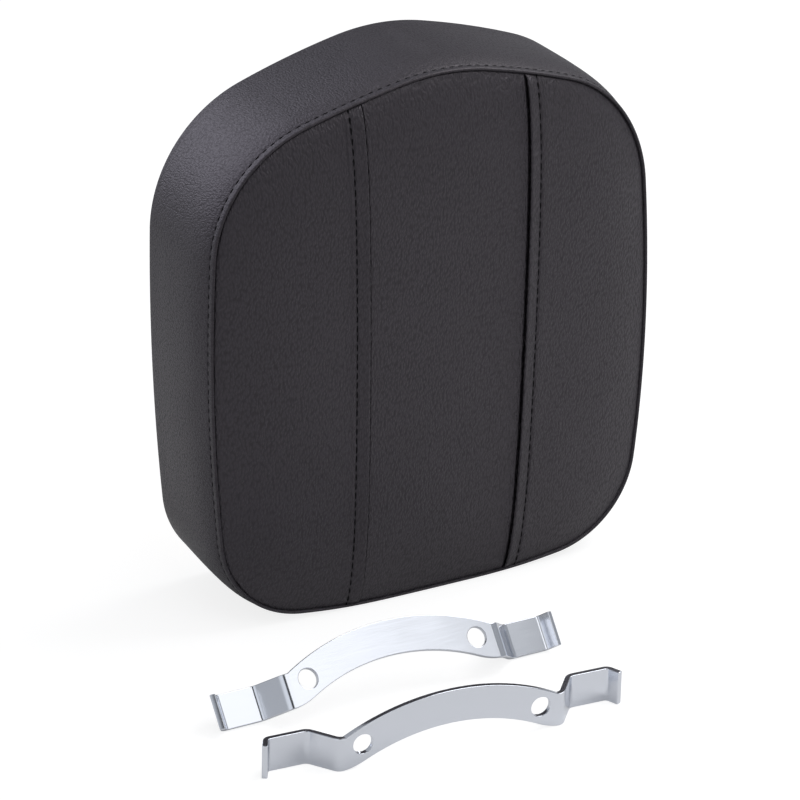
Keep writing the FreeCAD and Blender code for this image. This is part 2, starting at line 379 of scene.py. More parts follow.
def joint_end(x, z):
    """Share that is left of a joint's relief: it is pressed flat where its ends are sewn into the seam."""
    gap = np.maximum(from_edge(x, z) - seam_inset, 0)
    return 1 - end_press * np.exp(-(gap / end_flat) ** 2)


def centre_panel():
    """Middle face panel, dipping under the folded edges of its neighbours."""
    rows = spaced(pad_tall, centre_step)
    open_run = np.arange(0, joint_low - centre_run_stop, centre_step)
    near_joint = joint_low + np.linspace(-fine_before_fold, tuck_under, fine_columns)
    right = np.concatenate([open_run, near_joint])
    offsets = np.concatenate([-right[:0:-1], right])
    points = np.zeros((len(rows), len(offsets), 3))
    for j, offset in enumerate(offsets):
        share = np.clip(abs(offset) / joint_low, 0, 1)
        top_x = offset + np.sign(offset) * share * (joint_top - joint_low)
        low = edge_height(abs(offset), False)
        high = edge_height(abs(top_x), True)
        points[:, j, 2] = low + (high - low) * rows
        points[:, j, 0] = offset + (top_x - offset) * points[:, j, 2] / pad_tall
    x = points[..., 0].copy()
    z = points[..., 2].copy()
    points[..., 1] = face_depth(x, z)
    points = swollen(points)
    past_fold = np.abs(x) - joint_x(z)
    open_before = np.where(x < 0, left_groove_from_fold, groove_from_fold)
    dip = groove_deep / (1 + np.exp(-(past_fold + open_before) / groove_steep))
    points[..., 1] += dip * joint_end(x, z) + seam_crease(x, z)
    panel = net("centre_panel", points, np.stack([x, z], axis=-1))
    return given_thickness(panel, vinyl_thick)


# Section of a side panel at its joint: (distance from the fold edge, depth). Its first top_side points run
# from the tucked edge round the fold, and the rest down the lap past the row of stitches.
fold_profile = np.array([
    (4.0, 0.35), (2.4, 0.3), (1.2, 0.22), (0.7, 0.12), (0.32, -0.08), (0.08, -0.4),
    (0.0, -0.8), (0.08, -1.22), (0.3, -1.56), (0.62, -1.76), (1.1, -1.82), (1.7, -1.7),
    (2.5, -1.48), (3.4, -1.22), (4.3, -0.96), (5.2, -0.73), (5.9, -0.58), (6.4, -0.5),
    (6.8, -0.46), (7.0, -0.45), (7.2, -0.44), (7.4, -0.44), (7.7, -0.45), (8.2, -0.48),
    (9.0, -0.52), (9.8, -0.5)])
top_side = 9
fade_run = 6.0
fold_wander = 0.1
fold_wander_wide = 1.5


def side_panel(side):
    """Outer face panel, folded and stitched down at the joint and sewn to the boxing round its edge."""
    start = fold_profile[-1, 0]
    top_start = along_edge(joint_top + start, True)
    low_start = along_edge(joint_low + start, False)
    headings = np.radians(patch_corners)
    top_corner, low_corner = np.interp(headings, face_line[:, 2], face_along)
    rows = spaced(pad_tall, side_step)
    inner_run = np.linspace(0, patch_share, patch_columns)
    columns = np.concatenate([inner_run, 1 - np.linspace(rim_share, 0, rim_columns)])
    low = face_edge(low_start + (low_corner - low_start) * columns, seam_inset)
    top = face_edge(top_start + (top_corner - top_start) * columns, seam_inset)
    outer = face_edge(low_corner + (top_corner - low_corner) * rows, seam_inset)
    inner = low[0] + (top[0] - low[0]) * rows[:, None]
    u = columns[None, :, None]
    v = rows[:, None, None]
    patch = (1 - v) * low[None] + v * top[None] + (1 - u) * inner[:, None] + u * outer[:, None]
    patch -= (1 - u) * (1 - v) * low[0] + u * (1 - v) * low[-1] + (1 - u) * v * top[0] + u * v * top[-1]
    strip = np.zeros((len(rows), len(fold_profile) - 1, 2))
    for j, off in enumerate(fold_profile[:-1, 0]):
        bottom = edge_height(joint_low + off, False)
        crest = edge_height(joint_top + off, True)
        strip[:, j, 1] = bottom + (crest - bottom) * rows
        strip[:, j, 0] = joint_x(strip[:, j, 1]) + off
    flat = np.concatenate([strip, patch], axis=1)
    x, z = flat[..., 0], flat[..., 1]
    past = x - joint_x(z)
    folded = len(fold_profile)
    lift = fold_profile[-1, 1] * np.exp(-np.maximum(past - start, 0) / fade_run)
    lift[:, :folded] = fold_profile[:, 1]
    crease = crease_deep * np.exp(-((past - joint_stitch) / crease_wide) ** 2)
    crease[:, :top_side] = 0
    points = swollen(np.stack([x * side, face_depth(x, z), z], axis=-1))
    points[..., 1] += (lift + crease) * joint_end(x, z) + seam_crease(x, z)
    fade = np.exp(-(past / fold_wander_wide) ** 2)
    points[..., 0] += side * fold_wander * np.cos(2 * np.pi * z / stitch_pitch) * fade
    unrolled = np.concatenate([[0.0], np.cumsum(np.hypot(*np.diff(fold_profile, axis=0).T))])
    across = x.copy()
    across[:, :folded] = joint_low + start + (unrolled - unrolled[-1])[None]
    cut = np.stack([across * side, z], axis=-1)
    if side < 0:
        points = points[:, ::-1]
        cut = cut[:, ::-1]
    panel = net("side_panel_right" if side > 0 else "side_panel_left", points, cut)
    return given_thickness(panel, vinyl_thick / 2)


# Section of the boxing: (distance behind the face seam, distance out). It runs from the seam allowance
# round the folded front edge, through the row of stitches and back over the swell of the foam. The foam's
# swell acts on it from point band_outer on, and the stitches draw it in where it lies outside seam_side.
band_profile = np.array([
    (2.4, -2.6), (1.2, -1.9), (0.5, -1.5), (0.1, -1.2), (-0.08, -0.96), (-0.13, -0.76),
    (-0.06, -0.57), (0.12, -0.43), (0.4, -0.33), (0.8, -0.26), (1.3, -0.2), (1.9, -0.15),
    (2.4, -0.12), (2.8, -0.11), (3.1, -0.1), (3.3, -0.1), (3.5, -0.08), (3.8, -0.02),
    (4.3, 0.1), (5.0, 0.28), (6.2, 0.56), (8.0, 0.91), (10.5, 1.28), (14.0, 1.62),
    (18.0, 1.85), (23.0, 1.95), (29.0, 1.92), (36.0, 1.78), (43.0, 1.55), (50.0, 1.25),
    (57.0, 0.9), (62.0, 0.65)])
band_outer = 8
seam_side = -0.5
band_step = 1.3
back_round = 2.6
back_rows = 7

# Hem on the board, gathered in pleats round the tight corners
hem_rows = 14
hem_start = 1.5
hem_pleat = 0.55
pleat_pitch = 9.0
pleat_run = 6.0
pleat_floor = -0.2

# Where the pad rests on the floor its swell is pressed flat: foot_lift up, eased in over foot_press
foot_press = 1.0
foot_lift = 0.4


def around(step):
    """Rows of (x, z, out x, out z) round the face seam and round the back, with the distance along."""
    along = np.linspace(0, half_round, int(half_round / step) + 1)
    place = np.interp(along, face_along, face_line[:, 3])
    loops = []
    for line in (face_line, back_line):
        x, z, angle = [np.interp(place, line[:, 3], line[:, k]) for k in range(3)]
        right = np.stack([x, z, np.sin(angle), np.cos(angle)], axis=1)
        left = right[-2:0:-1] * np.array([-1, 1, -1, 1])
        loops.append(np.concatenate([right, left]))
    distance = np.concatenate([along, 2 * half_round - along[-2:0:-1]])
    return loops[0], loops[1], distance


def set_out(loop, out, y):
    """Ring of points at a depth, moved out from the loop."""
    x = loop[:, 0] + out * loop[:, 2]
    z = loop[:, 1] + out * loop[:, 3]
    return np.stack([x, y + 0 * x, z], axis=1)


def rested(z):
    """Heights with the swell pressed flat where the pad rests on the floor."""
    over = z - foot_lift
    return foot_lift + (over + np.hypot(over, foot_press)) / 2


def side_boxing():
    """Boxing from its folded front edge round the sides, turned over the back as a pleated hem."""
    face_loop, back_loop, distance = around(band_step)
    depth = seam_depth(face_loop[:, 0], face_loop[:, 1])
    rows = []
    for behind, out in band_profile:
        y = depth + behind
        share = ((y - face_y) / pad_deep)[:, None]
        near = (behind - seam_stitch) / band_crease_wide
        draw = band_crease_deep * math.exp(-near ** 2) if out > seam_side else 0.0
        rows.append(set_out(face_loop * (1 - share) + back_loop * share, out - draw, y))
    for turn in np.radians(np.linspace(0, 90, back_rows)):
        out = band_profile[-1, 1] / 2 * math.cos(turn) ** 2 - back_round * (1 - math.cos(turn))
        rows.append(set_out(back_loop, out, back_y - back_round * (1 - math.sin(turn))))
    bend = np.abs(np.gradient(np.unwrap(np.arctan2(back_loop[:, 2], back_loop[:, 3])), distance))
    tight = np.clip(bend * corner_radius, 0, 1)
    for inset in np.linspace(back_round + hem_start, hem_wide, hem_rows):
        gathered = min((inset - back_round) / pleat_run, 1.0) * tight
        wave = np.maximum(np.sin(2 * np.pi * distance / pleat_pitch), pleat_floor)
        pleat = hem_pleat * gathered * wave
        rows.append(set_out(back_loop, -inset, back_y + pleat))
    points = np.array(rows)
    steps = np.linalg.norm(np.diff(points, axis=0), axis=2).mean(1)
    unrolled = np.concatenate([[0.0], np.cumsum(steps)])
    swelling = slice(band_outer, len(band_profile))
    points[swelling] = swollen(points[swelling])
    points[..., 2] = rested(points[..., 2])
    cut = np.zeros((len(points), points.shape[1] + 1, 2))
    cut[..., 0] = np.linspace(0, 2 * half_round, points.shape[1] + 1)[None]
    cut[..., 1] = unrolled[:, None]
    band = net("side_boxing", points[:, ::-1], cut, closed=True)
    return given_thickness(band, vinyl_thick / 2)


# Materials: how far the noise shifts the pebbles of the grain and how wide it is, in pebbles
grain_shift = 2.6
grain_drift = 2.2

# Strands of the twisted thread, from one to the next. Real ones are 0.9 mm apart, too fine to show here.
strand_pitch = 3.553


def add(tree, kind, inputs=None, **settings):
    """Add a node with its settings; inputs are constant values or the sockets that feed it."""
    made = tree.nodes.new(kind)
    for name, value in settings.items():
        setattr(made, name, value)
    for key, value in (inputs or {}).items():
        if isinstance(value, bpy.types.NodeSocket):
            tree.links.new(value, made.inputs[key])
        else:
            made.inputs[key].default_value = value
    return made


def colour(code):
    """Linear colour from an sRGB hex value."""
    parts = [int(code[i:i + 2], 16) / 255 for i in (1, 3, 5)]
    return tuple(c / 12.92 if c <= 0.04045 else ((c + 0.055) / 1.055) ** 2.4 for c in parts) + (1.0,)


def new_material(name):
    """Empty material with its shader and output."""
    made = bpy.data.materials.new(name)
    made.use_nodes = True
    tree = made.node_tree
    tree.nodes.clear()
    shader = add(tree, "ShaderNodeBsdfPrincipled")
    add(tree, "ShaderNodeOutputMaterial", {"Surface": shader.outputs[0]})
    return made, tree, shader


def embossed_vinyl(name, grain_wide, grain_tall, grain_deep, hollow_shade, top, rough, ior):
    """Upholstery vinyl: calendered PVC, whose embossed grain breaks its soft sheen into small lights."""
    made, tree, shader = new_material(name)
    place = add(tree, "ShaderNodeUVMap", uv_map="cut_vinyl").outputs[0]
    warp = add(tree, "ShaderNodeTexNoise",
               {"Vector": place, "Scale": 1 / (grain_drift * grain_tall * mm), "Detail": 3.0})
    shift = add(tree, "ShaderNodeVectorMath",
                {0: warp.outputs["Color"], 1: (0.5, 0.5, 0.5)}, operation="SUBTRACT")
    sized = add(tree, "ShaderNodeVectorMath",
                {0: shift.outputs[0], "Scale": grain_shift * grain_wide * mm}, operation="SCALE")
    drift = add(tree, "ShaderNodeVectorMath", {0: place, 1: sized.outputs[0]}, operation="ADD")
    upright = add(tree, "ShaderNodeMapping",
                  {"Vector": drift.outputs[0], "Scale": (1.0, grain_wide / grain_tall, 1.0)})
    pebbles = add(tree, "ShaderNodeTexVoronoi",
                  {"Vector": upright.outputs[0], "Scale": 1 / (grain_wide * mm), "Smoothness": 0.8},
                  voronoi_dimensions="2D", feature="SMOOTH_F1")
    dome = add(tree, "ShaderNodeMapRange",
               {"Value": pebbles.outputs["Distance"], "From Min": 0.7, "From Max": 0.05})
    fine = add(tree, "ShaderNodeTexNoise", {"Vector": upright.outputs[0], "Scale": 1.3 / (grain_wide * mm)})
    height = add(tree, "ShaderNodeMath",
                 {0: fine.outputs[0], 1: 1.2, 2: dome.outputs[0]}, operation="MULTIPLY_ADD")
    patch = add(tree, "ShaderNodeTexNoise", {"Vector": place, "Scale": 1 / 0.045})
    # Painted sheen and shade: the pebbles' tops are painted lighter and their hollows darker, over a real
    # random tone from the patch noise
    tone_and_sheen = add(tree, "ShaderNodeMath",
               {0: patch.outputs[0], 1: 0.5, 2: dome.outputs[0]}, operation="MULTIPLY_ADD")
    shade = add(tree, "ShaderNodeMix",
                {0: tone_and_sheen.outputs[0], 6: colour(hollow_shade), 7: colour(top)}, data_type="RGBA")
    bump = add(tree, "ShaderNodeBump", {"Height": height.outputs[0], "Distance": grain_deep * mm})
    gloss = add(tree, "ShaderNodeMapRange",
                {"Value": tone_and_sheen.outputs[0], "From Min": 0.2, "From Max": 1.2,
                 "To Min": rough + 0.12, "To Max": rough - 0.04})
    tree.links.new(shade.outputs[2], shader.inputs["Base Color"])
    tree.links.new(bump.outputs[0], shader.inputs["Normal"])
    tree.links.new(gloss.outputs[0], shader.inputs["Roughness"])
    shader.inputs["IOR"].default_value = ior
    shader.inputs["Specular Tint"].default_value = colour("#fff5ff")
    return made


def bonded_thread():
    """Bonded polyester thread: twisted black plies with a slight waxy sheen."""
    made, tree, shader = new_material("bonded_thread")
    place = add(tree, "ShaderNodeTexCoord").outputs["Object"]
    # The wave's slanting bands repeat after 2 pi / 10 of the scaled place
    twist = add(tree, "ShaderNodeTexWave",
                {"Vector": place, "Scale": 2 * math.pi / (10 * strand_pitch * mm), "Distortion": 1.0},
                bands_direction="DIAGONAL")
    shade = add(tree, "ShaderNodeMix",
                {0: twist.outputs[1], 6: colour("#040405"), 7: colour("#0d0d0f")}, data_type="RGBA")
    bump = add(tree, "ShaderNodeBump", {"Height": twist.outputs[1], "Distance": 0.08 * mm})
    tree.links.new(shade.outputs[2], shader.inputs["Base Color"])
    tree.links.new(bump.outputs[0], shader.inputs["Normal"])
    shader.inputs["Roughness"].default_value = 0.85
    shader.inputs["Specular IOR Level"].default_value = 0.12
    return made


def bright_plate():
    """Bright plating on formed strap: mirror-like, with faint drawing lines and a ripple from the press.

    The drawing lines are drawn coarser than they are, so that they show.
    """
    made, tree, shader = new_material("bright_plate")
    place = add(tree, "ShaderNodeTexCoord").outputs["Object"]
    ripple = add(tree, "ShaderNodeTexNoise", {"Vector": place, "Scale": 1 / 0.04, "Detail": 1.0})
    lines = add(tree, "ShaderNodeMapping", {"Vector": place, "Scale": (0.05, 1.0, 1.0)})
    drawn = add(tree, "ShaderNodeTexNoise",
                {"Vector": lines.outputs[0], "Scale": 1 / (0.8 * mm), "Detail": 3.0})
    gloss = add(tree, "ShaderNodeMapRange", {"Value": drawn.outputs[0], "To Min": 0.1, "To Max": 0.2})
    bump = add(tree, "ShaderNodeBump", {"Height": ripple.outputs[0], "Distance": 0.15 * mm})
    tree.links.new(gloss.outputs[0], shader.inputs["Roughness"])
    tree.links.new(bump.outputs[0], shader.inputs["Normal"])
    shader.inputs["Base Color"].default_value = colour("#e6e9f0")
    shader.inputs["Metallic"].default_value = 1.0
    return made


def zinc_plate():
    """Zinc plating on the small steel fasteners: bluish grey, softly mottled."""
    made, tree, shader = new_material("zinc_plate")
    place = add(tree, "ShaderNodeTexCoord").outputs["Object"]
    mottle = add(tree, "ShaderNodeTexNoise", {"Vector": place, "Scale": 1 / (1.5 * mm), "Detail": 3.0})
    shade = add(tree, "ShaderNodeMix",
                {0: mottle.outputs[0], 6: colour("#858b91"), 7: colour("#c3c8cc")}, data_type="RGBA")
    gloss = add(tree, "ShaderNodeMapRange", {"Value": mottle.outputs[0], "To Min": 0.28, "To Max": 0.42})
    tree.links.new(shade.outputs[2], shader.inputs["Base Color"])
    tree.links.new(gloss.outputs[0], shader.inputs["Roughness"])
    shader.inputs["Metallic"].default_value = 1.0
    return made


def birch_plywood():
    """Birch plywood: pale sanded face veneer with upright grain, and thin darker plies on the cut edge."""
    made, tree, shader = new_material("birch_plywood")
    place = add(tree, "ShaderNodeTexCoord").outputs["Object"]
    upright = add(tree, "ShaderNodeMapping", {"Vector": place, "Scale": (1.0, 0.0, 0.06)})
    grain = add(tree, "ShaderNodeTexNoise",
                {"Vector": upright.outputs[0], "Scale": 1 / (2.5 * mm), "Detail": 5.0, "Distortion": 0.4})
    figure = add(tree, "ShaderNodeTexNoise", {"Vector": upright.outputs[0], "Scale": 1 / 0.03})
    both = add(tree, "ShaderNodeMath",
               {0: grain.outputs[0], 1: 0.6, 2: figure.outputs[0]}, operation="MULTIPLY_ADD")
    share = add(tree, "ShaderNodeMapRange", {"Value": both.outputs[0], "From Min": 0.5, "From Max": 1.05})
    veneer = add(tree, "ShaderNodeMix",
                 {0: share.outputs[0], 6: colour("#b8946a"), 7: colour("#dfc498")}, data_type="RGBA")
    depth = add(tree, "ShaderNodeSeparateXYZ", {0: place})
    plies = add(tree, "ShaderNodeMath", {0: depth.outputs[1], 1: 1.9 * mm}, operation="PINGPONG")
    glue = add(tree, "ShaderNodeMapRange",
               {"Value": plies.outputs[0], "From Min": 0.2 * mm, "From Max": 0.4 * mm})
    normal = add(tree, "ShaderNodeSeparateXYZ", {0: add(tree, "ShaderNodeNewGeometry").outputs["Normal"]})
    facing = add(tree, "ShaderNodeMath", {0: normal.outputs[1]}, operation="ABSOLUTE")
    ply = add(tree, "ShaderNodeMath", {0: glue.outputs[0], 1: facing.outputs[0]}, operation="MAXIMUM")
    shade = add(tree, "ShaderNodeMix",
                {0: ply.outputs[0], 6: colour("#7d5c3c"), 7: veneer.outputs[2]}, data_type="RGBA")
    bump = add(tree, "ShaderNodeBump", {"Height": grain.outputs[0], "Distance": 0.1 * mm})
    tree.links.new(shade.outputs[2], shader.inputs["Base Color"])
    tree.links.new(bump.outputs[0], shader.inputs["Normal"])
    shader.inputs["Roughness"].default_value = 0.62
    return made


def cut_foam():
    """Polyurethane seat foam: dull open cells in a creamy grey."""
    made, tree, shader = new_material("cut_foam")
    place = add(tree, "ShaderNodeTexCoord").outputs["Object"]
    cells = add(tree, "ShaderNodeTexVoronoi", {"Vector": place, "Scale": 1 / (0.9 * mm)})
    # Painted shade: each open cell is painted darker towards its middle, where the pore sinks in
    shade = add(tree, "ShaderNodeMix",
                {0: cells.outputs["Distance"], 6: colour("#6f6b5e"), 7: colour("#cfc9b4")},
                data_type="RGBA")
    bump = add(tree, "ShaderNodeBump", {"Height": cells.outputs["Distance"], "Distance": 0.3 * mm})
    tree.links.new(shade.outputs[2], shader.inputs["Base Color"])
    tree.links.new(bump.outputs[0], shader.inputs["Normal"])
    shader.inputs["Roughness"].default_value = 0.9
    return made


# Painted sheen and shade in each vinyl's two colours: the lighter one on the grain's tops, the darker one
# in its hollows
face_vinyl = embossed_vinyl("face_vinyl", grain_wide=1.1, grain_tall=2.5, grain_deep=0.3,
                            hollow_shade="#060507", top="#201e22", rough=0.41, ior=1.58)
boxing_vinyl = embossed_vinyl("boxing_vinyl", grain_wide=1.0, grain_tall=1.6, grain_deep=0.14,
                              hollow_shade="#0a090c", top="#222024", rough=0.41, ior=1.53)
thread = bonded_thread()
strap_plating = bright_plate()
zinc = zinc_plate()
plywood = birch_plywood()
foam = cut_foam()


def dressed(piece, finish):
    """Give the piece one finish."""
    piece.data.materials.clear()
    piece.data.materials.append(finish)
    return piece


# Stitches and staples. The thread is about twice as thick as real thread, so that single stitches show.
thread_thick = 0.85
stitch_sides = 6
joint_stitch_long = 5.0
seam_stitch_long = 3.4
row_end_gap = 1.5
staple_sides = 8
staple_crown = 10.0
staple_wide = 1.1
staple_tall = 0.6
staple_leg = 1.6


def swept_blank(name, path, wide, tall, sides):
    """Short length of thread or wire along a bent path of (along, up) points, in millimetres."""
    shape = bmesh.new()
    rings = []
    turns = 2 * math.pi * (np.arange(sides) + 0.5) / sides
    for (along, up), (run, rise) in zip(path, np.gradient(path, axis=0)):
        length = math.hypot(run, rise)
        ring = []
        for turn in turns:
            lift = tall / 2 * math.sin(turn)
            spot = (along - lift * rise / length, wide / 2 * math.cos(turn), up + lift * run / length)
            ring.append(shape.verts.new([c * mm for c in spot]))
        rings.append(ring)
    for first, second in zip(rings, rings[1:]):
        for k in range(sides):
            shape.faces.new((first[k], first[(k + 1) % sides], second[(k + 1) % sides], second[k]))
    shape.faces.new(rings[0][::-1])
    shape.faces.new(rings[-1])
    bmesh.ops.recalc_face_normals(shape, faces=shape.faces)
    mesh = bpy.data.meshes.new(name)
    shape.to_mesh(mesh)
    shape.free()
    mesh.shade_smooth()
    return linked(name, mesh)


def stitch_blank(name, long):
    """One stitch: the thread rises out of one needle hole and dives into the next."""
    places = np.linspace(-1, 1, 7)
    path = np.stack([places * long / 2, -thread_thick * places ** 4], axis=1)
    return swept_blank(name, path, thread_thick, thread_thick, stitch_sides)


def staple_blank():
    """One wire staple: a flat crown with its legs bent down into the hem."""
    half = staple_crown / 2
    ease = staple_tall
    path = [(-half, -staple_leg), (-half, -ease), (-half + ease / 3, -ease / 4), (-half + ease, 0),
            (half - ease, 0), (half - ease / 3, -ease / 4), (half, -ease), (half, -staple_leg)]
    return swept_blank("staple_blank", np.array(path), staple_wide, staple_tall * 1.2, staple_sides)


def row_tree():
    """Node tree that sets copies of a blank at an even pitch along a line, each standing outwards."""
    tree = bpy.data.node_groups.new("row_along_a_seam", "GeometryNodeTree")
    tree.interface.new_socket("Line", in_out="INPUT", socket_type="NodeSocketGeometry")
    tree.interface.new_socket("Pitch", in_out="INPUT", socket_type="NodeSocketFloat")
    tree.interface.new_socket("Blank", in_out="INPUT", socket_type="NodeSocketObject")
    tree.interface.new_socket("Finish", in_out="INPUT", socket_type="NodeSocketMaterial")
    tree.interface.new_socket("Row", in_out="OUTPUT", socket_type="NodeSocketGeometry")
    given = add(tree, "NodeGroupInput")
    line = add(tree, "GeometryNodeMeshToCurve", {"Mesh": given.outputs["Line"]})
    even = add(tree, "GeometryNodeResampleCurve",
               {"Curve": line.outputs[0], "Length": given.outputs["Pitch"]}, mode="LENGTH")
    outward = add(tree, "GeometryNodeInputNamedAttribute", {"Name": "outward"}, data_type="FLOAT_VECTOR")
    heading = add(tree, "GeometryNodeInputTangent")
    stand = add(tree, "FunctionNodeAxesToRotation",
                {"Primary Axis": outward.outputs[0], "Secondary Axis": heading.outputs[0]},
                primary_axis="Z", secondary_axis="X")
    blank = add(tree, "GeometryNodeObjectInfo", {"Object": given.outputs["Blank"]})
    copies = add(tree, "GeometryNodeInstanceOnPoints",
                 {"Points": even.outputs[0], "Instance": blank.outputs["Geometry"],
                  "Rotation": stand.outputs[0]})
    real = add(tree, "GeometryNodeRealizeInstances", {"Geometry": copies.outputs[0]})
    coated = add(tree, "GeometryNodeSetMaterial",
                 {"Geometry": real.outputs[0], "Material": given.outputs["Finish"]})
    add(tree, "NodeGroupOutput", {"Row": coated.outputs[0]})
    return tree


seam_rows = row_tree()


def sown(name, points, outward, closed, pitch, blank, finish):
    """Row of stitches or staples along a line of points in millimetres."""
    mesh = bpy.data.meshes.new(name)
    count = len(points)
    edges = [(i, i + 1) for i in range(count - 1)]
    if closed:
        edges.append((count - 1, 0))
    mesh.from_pydata((points * mm).tolist(), edges, [])
    mesh.attributes.new("outward", "FLOAT_VECTOR", "POINT")
    mesh.attributes["outward"].data.foreach_set("vector", outward.astype(np.float32).ravel())
    row = linked(name, mesh)
    maker = row.modifiers.new("row", "NODES")
    maker.node_group = seam_rows
    values = {"Pitch": pitch * mm, "Blank": blank, "Finish": finish}
    for item in seam_rows.interface.items_tree:
        if item.name in values:
            maker[item.identifier] = values[item.name]
    return finished(row)


def landed(piece, points, aims):
    """Points dropped onto the piece along their aims from 20 mm off, in millimetres."""
    start_off = 20.0 * mm
    corners = [v.co for v in piece.data.vertices]
    skin = BVHTree.FromPolygons(corners, [p.vertices for p in piece.data.polygons])
    out = []
    for point, aim in zip(points * mm, aims):
        hit = skin.ray_cast(Vector(point - aim * start_off), Vector(aim))[0]
        out.append(np.array(hit) / mm)
    return np.array(out)


def joint_stitches(side, panel):
    """Top stitching through the lap of one joint, lying in its crease."""
    low = edge_height(joint_low + joint_stitch, False) + row_end_gap
    high = edge_height(joint_top + joint_stitch, True) - row_end_gap
    z = np.arange(low, high, stitch_pitch / 4)
    x = side * (joint_x(z) + joint_stitch)
    aims = np.tile([0.0, 1.0, 0.0], (len(z), 1))
    points = landed(panel, np.stack([x, face_depth(x, z), z], axis=1), aims)
    name = "joint_stitches_right" if side > 0 else "joint_stitches_left"
    return sown(name, points, -aims, False, stitch_pitch, joint_stitch_blank, thread)


def seam_stitches(band):
    """Top stitching through the boxing beside the face seam."""
    face_loop = around(stitch_pitch / 4)[0]
    aims = np.stack([-face_loop[:, 2], 0 * face_loop[:, 0], -face_loop[:, 3]], axis=1)
    depth = seam_depth(face_loop[:, 0], face_loop[:, 1]) + seam_stitch
    points = landed(band, np.stack([face_loop[:, 0], depth, face_loop[:, 1]], axis=1), aims)
    return sown("seam_stitches", points, -aims, True, stitch_pitch, seam_stitch_blank, thread)


def hem_staples(band):
    """Staples that hold the hem to the board."""
    back_loop = around(stitch_pitch)[1]
    aims = np.tile([0.0, -1.0, 0.0], (len(back_loop), 1))
    points = landed(band, set_out(back_loop, -staple_from_edge, back_y), aims)
    points[:, 1] = points[:, 1].mean()
    return sown("hem_staples", points, -aims, True, staple_pitch, one_staple, zinc)


# Build the cover
centre = dressed(centre_panel(), face_vinyl)
right = dressed(side_panel(1), face_vinyl)
left = dressed(side_panel(-1), face_vinyl)
boxing = dressed(side_boxing(), boxing_vinyl)
foam_block = dressed(pad_body("foam_block", foam_inset, foam_back), foam)
joint_stitch_blank = stitch_blank("joint_stitch_blank", joint_stitch_long)
seam_stitch_blank = stitch_blank("seam_stitch_blank", seam_stitch_long)
one_staple = staple_blank()
right_row = joint_stitches(1, right)
left_row = joint_stitches(-1, left)
seam_row = seam_stitches(boxing)
staple_row = hem_staples(boxing)
for blank in (joint_stitch_blank, seam_stitch_blank, one_staple):
    bpy.data.objects.remove(blank)

# Brackets: merged copies of the bent straps with eased edges; angles are in degrees
edge_ease = 0.4
flat_within = 0.6
edge_over = 40


def eased_bracket(node, name):
    """The bent strap with its doubled points merged and its sheared edges eased."""
    shape = bmesh.new()
    shape.from_mesh(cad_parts[node].data)
    bmesh.ops.remove_doubles(shape, verts=shape.verts, dist=0.002 * mm)
    flat = math.radians(flat_within)
    bmesh.ops.dissolve_limit(shape, angle_limit=flat, verts=shape.verts, edges=shape.edges)
    mesh = bpy.data.meshes.new(name)
    shape.to_mesh(mesh)
    shape.free()
    mesh.shade_smooth()
    strap = linked(name, mesh)
    ease = strap.modifiers.new("eased", "BEVEL")
    ease.width = edge_ease * mm
    ease.segments = 3
    ease.limit_method = "ANGLE"
    ease.angle_limit = math.radians(edge_over)
    level = strap.modifiers.new("level", "WEIGHTED_NORMAL")
    level.mode = "FACE_AREA"
    level.weight = 100
    return dressed(finished(strap), strap_plating)


near_strap = eased_bracket("bracket_front", "near_strap")
far_strap = eased_bracket("bracket_rear", "far_strap")

# Attach the pieces
replaced = {centre: "face_panel_centre", right: "face_panel_right", left: "face_panel_left",
            boxing: "side_band", foam_block: "foam_core", staple_row: "cover_staples",
            near_strap: "bracket_front", far_strap: "bracket_rear"}
slots = {centre: "cover_vinyl", right: "cover_vinyl", left: "cover_vinyl", boxing: "cover_vinyl",
         foam_block: "foam", staple_row: "plated_steel", near_strap: "bracket_chrome",
         far_strap: "bracket_chrome", right_row: "cover_vinyl", left_row: "cover_vinyl",
         seam_row: "cover_vinyl"}
for piece, slot in slots.items():
    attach(piece, "root")
for piece, node in replaced.items():
    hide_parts(node)
for name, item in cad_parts.items():
    if name == "base_board":
        dressed(item, plywood)
    elif name.startswith("tee_nut"):
        dressed(item, zinc)

# Studio, in metres. The floor glows as the white page, and far less in reflections.
floor_half = 6.0
page_glow = 0.82
mirror_share = 0.08
fill_light = 0.44

# Brightness of the walls by bearing: degrees from straight behind the pad, positive to its right
wall_lights = [
    (-180, 0.2), (-166, 0.2), (-158, 0.03), (-141, 0.03), (-135, 0.95), (-114, 0.9), (-100, 0.6),
    (-85, 0.42), (-66, 0.15), (-50, 0.5), (0, 0.42), (30, 0.2), (100, 0.42), (140, 0.38), (150, 0.2)]


def photo_floor():
    """Pale paper floor that reads as the white page, and keeps the shadow."""
    mesh = bpy.data.meshes.new("floor")
    corners = [(-floor_half, -floor_half, 0), (floor_half, -floor_half, 0), (floor_half, floor_half, 0),
               (-floor_half, floor_half, 0)]
    mesh.from_pydata(corners, [], [(0, 1, 2, 3)])
    floor = linked("floor", mesh)
    made, tree, shader = new_material("floor_paper")
    shader.inputs["Base Color"].default_value = colour("#e4e4e4")
    shader.inputs["Roughness"].default_value = 0.9
    page = add(tree, "ShaderNodeEmission", {"Color": colour("#ffffff"), "Strength": page_glow})
    matt = add(tree, "ShaderNodeBsdfDiffuse", {"Color": colour("#9a9a9a")})
    lit = add(tree, "ShaderNodeAddShader", {0: page.outputs[0], 1: matt.outputs[0]})
    rays = add(tree, "ShaderNodeLightPath")
    direct = add(tree, "ShaderNodeMath",
                 {0: rays.outputs["Is Camera Ray"], 1: rays.outputs["Is Transmission Ray"]},
                 operation="MAXIMUM")
    seen = add(tree, "ShaderNodeMath",
               {0: rays.outputs["Is Glossy Ray"], 1: mirror_share, 2: direct.outputs[0]},
               operation="MULTIPLY_ADD")
    both = add(tree, "ShaderNodeMixShader", {0: seen.outputs[0], 1: shader.outputs[0], 2: lit.outputs[0]})
    out = [n for n in tree.nodes if n.type == "OUTPUT_MATERIAL"][0]
    tree.links.new(both.outputs[0], out.inputs["Surface"])
    dressed(floor, made)


